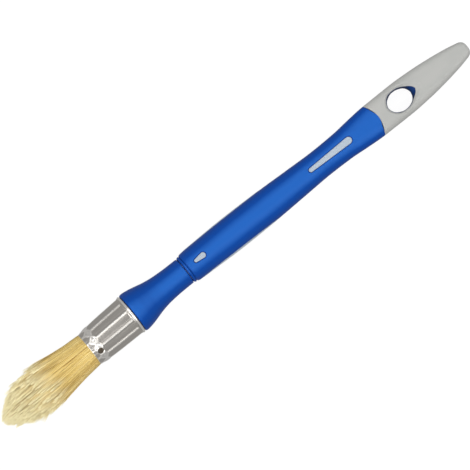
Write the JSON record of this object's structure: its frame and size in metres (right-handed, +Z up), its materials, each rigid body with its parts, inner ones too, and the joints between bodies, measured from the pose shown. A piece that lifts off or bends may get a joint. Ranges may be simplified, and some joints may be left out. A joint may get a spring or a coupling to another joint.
{
  "type": "paint brush",
  "caption": "Round paint brush with a pointed natural bristle tuft, pressed steel ferrule and a two-part plastic handle with soft grip and a hanging hole.",
  "frame": {"origin": "on the table, at the middle of the lying brush's box", "axes": "+X along the brush from the bristle tip to the tail with the hanging hole, +Z up away from the table"},
  "size_m": [0.2798, 0.0222, 0.0232],
  "materials": {
    "bristle": "pale natural hog bristle, slightly glossy strands with frayed lighter tips",
    "plug_wood": "plain turned beech",
    "resin": "cast epoxy",
    "plated_steel": "bright plated sheet, drawn and stamped",
    "pin_steel": "dull nail steel",
    "grey_plastic": "satin injection-moulded hard plastic",
    "blue_soft_grip": "satin overmoulded soft-touch elastomer"
  },
  "bodies": {
    "root": {"bristle_tuft": "bristle", "centre_plug": "plug_wood", "resin_set": "resin", "ferrule": "plated_steel", "ferrule_pin_front": "pin_steel", "ferrule_pin_back": "pin_steel", "handle_core": "grey_plastic", "neck_sleeve": "blue_soft_grip", "grip_sleeve": "blue_soft_grip", "hang_hole_liner": "blue_soft_grip"}
  },
  "joints": []
}
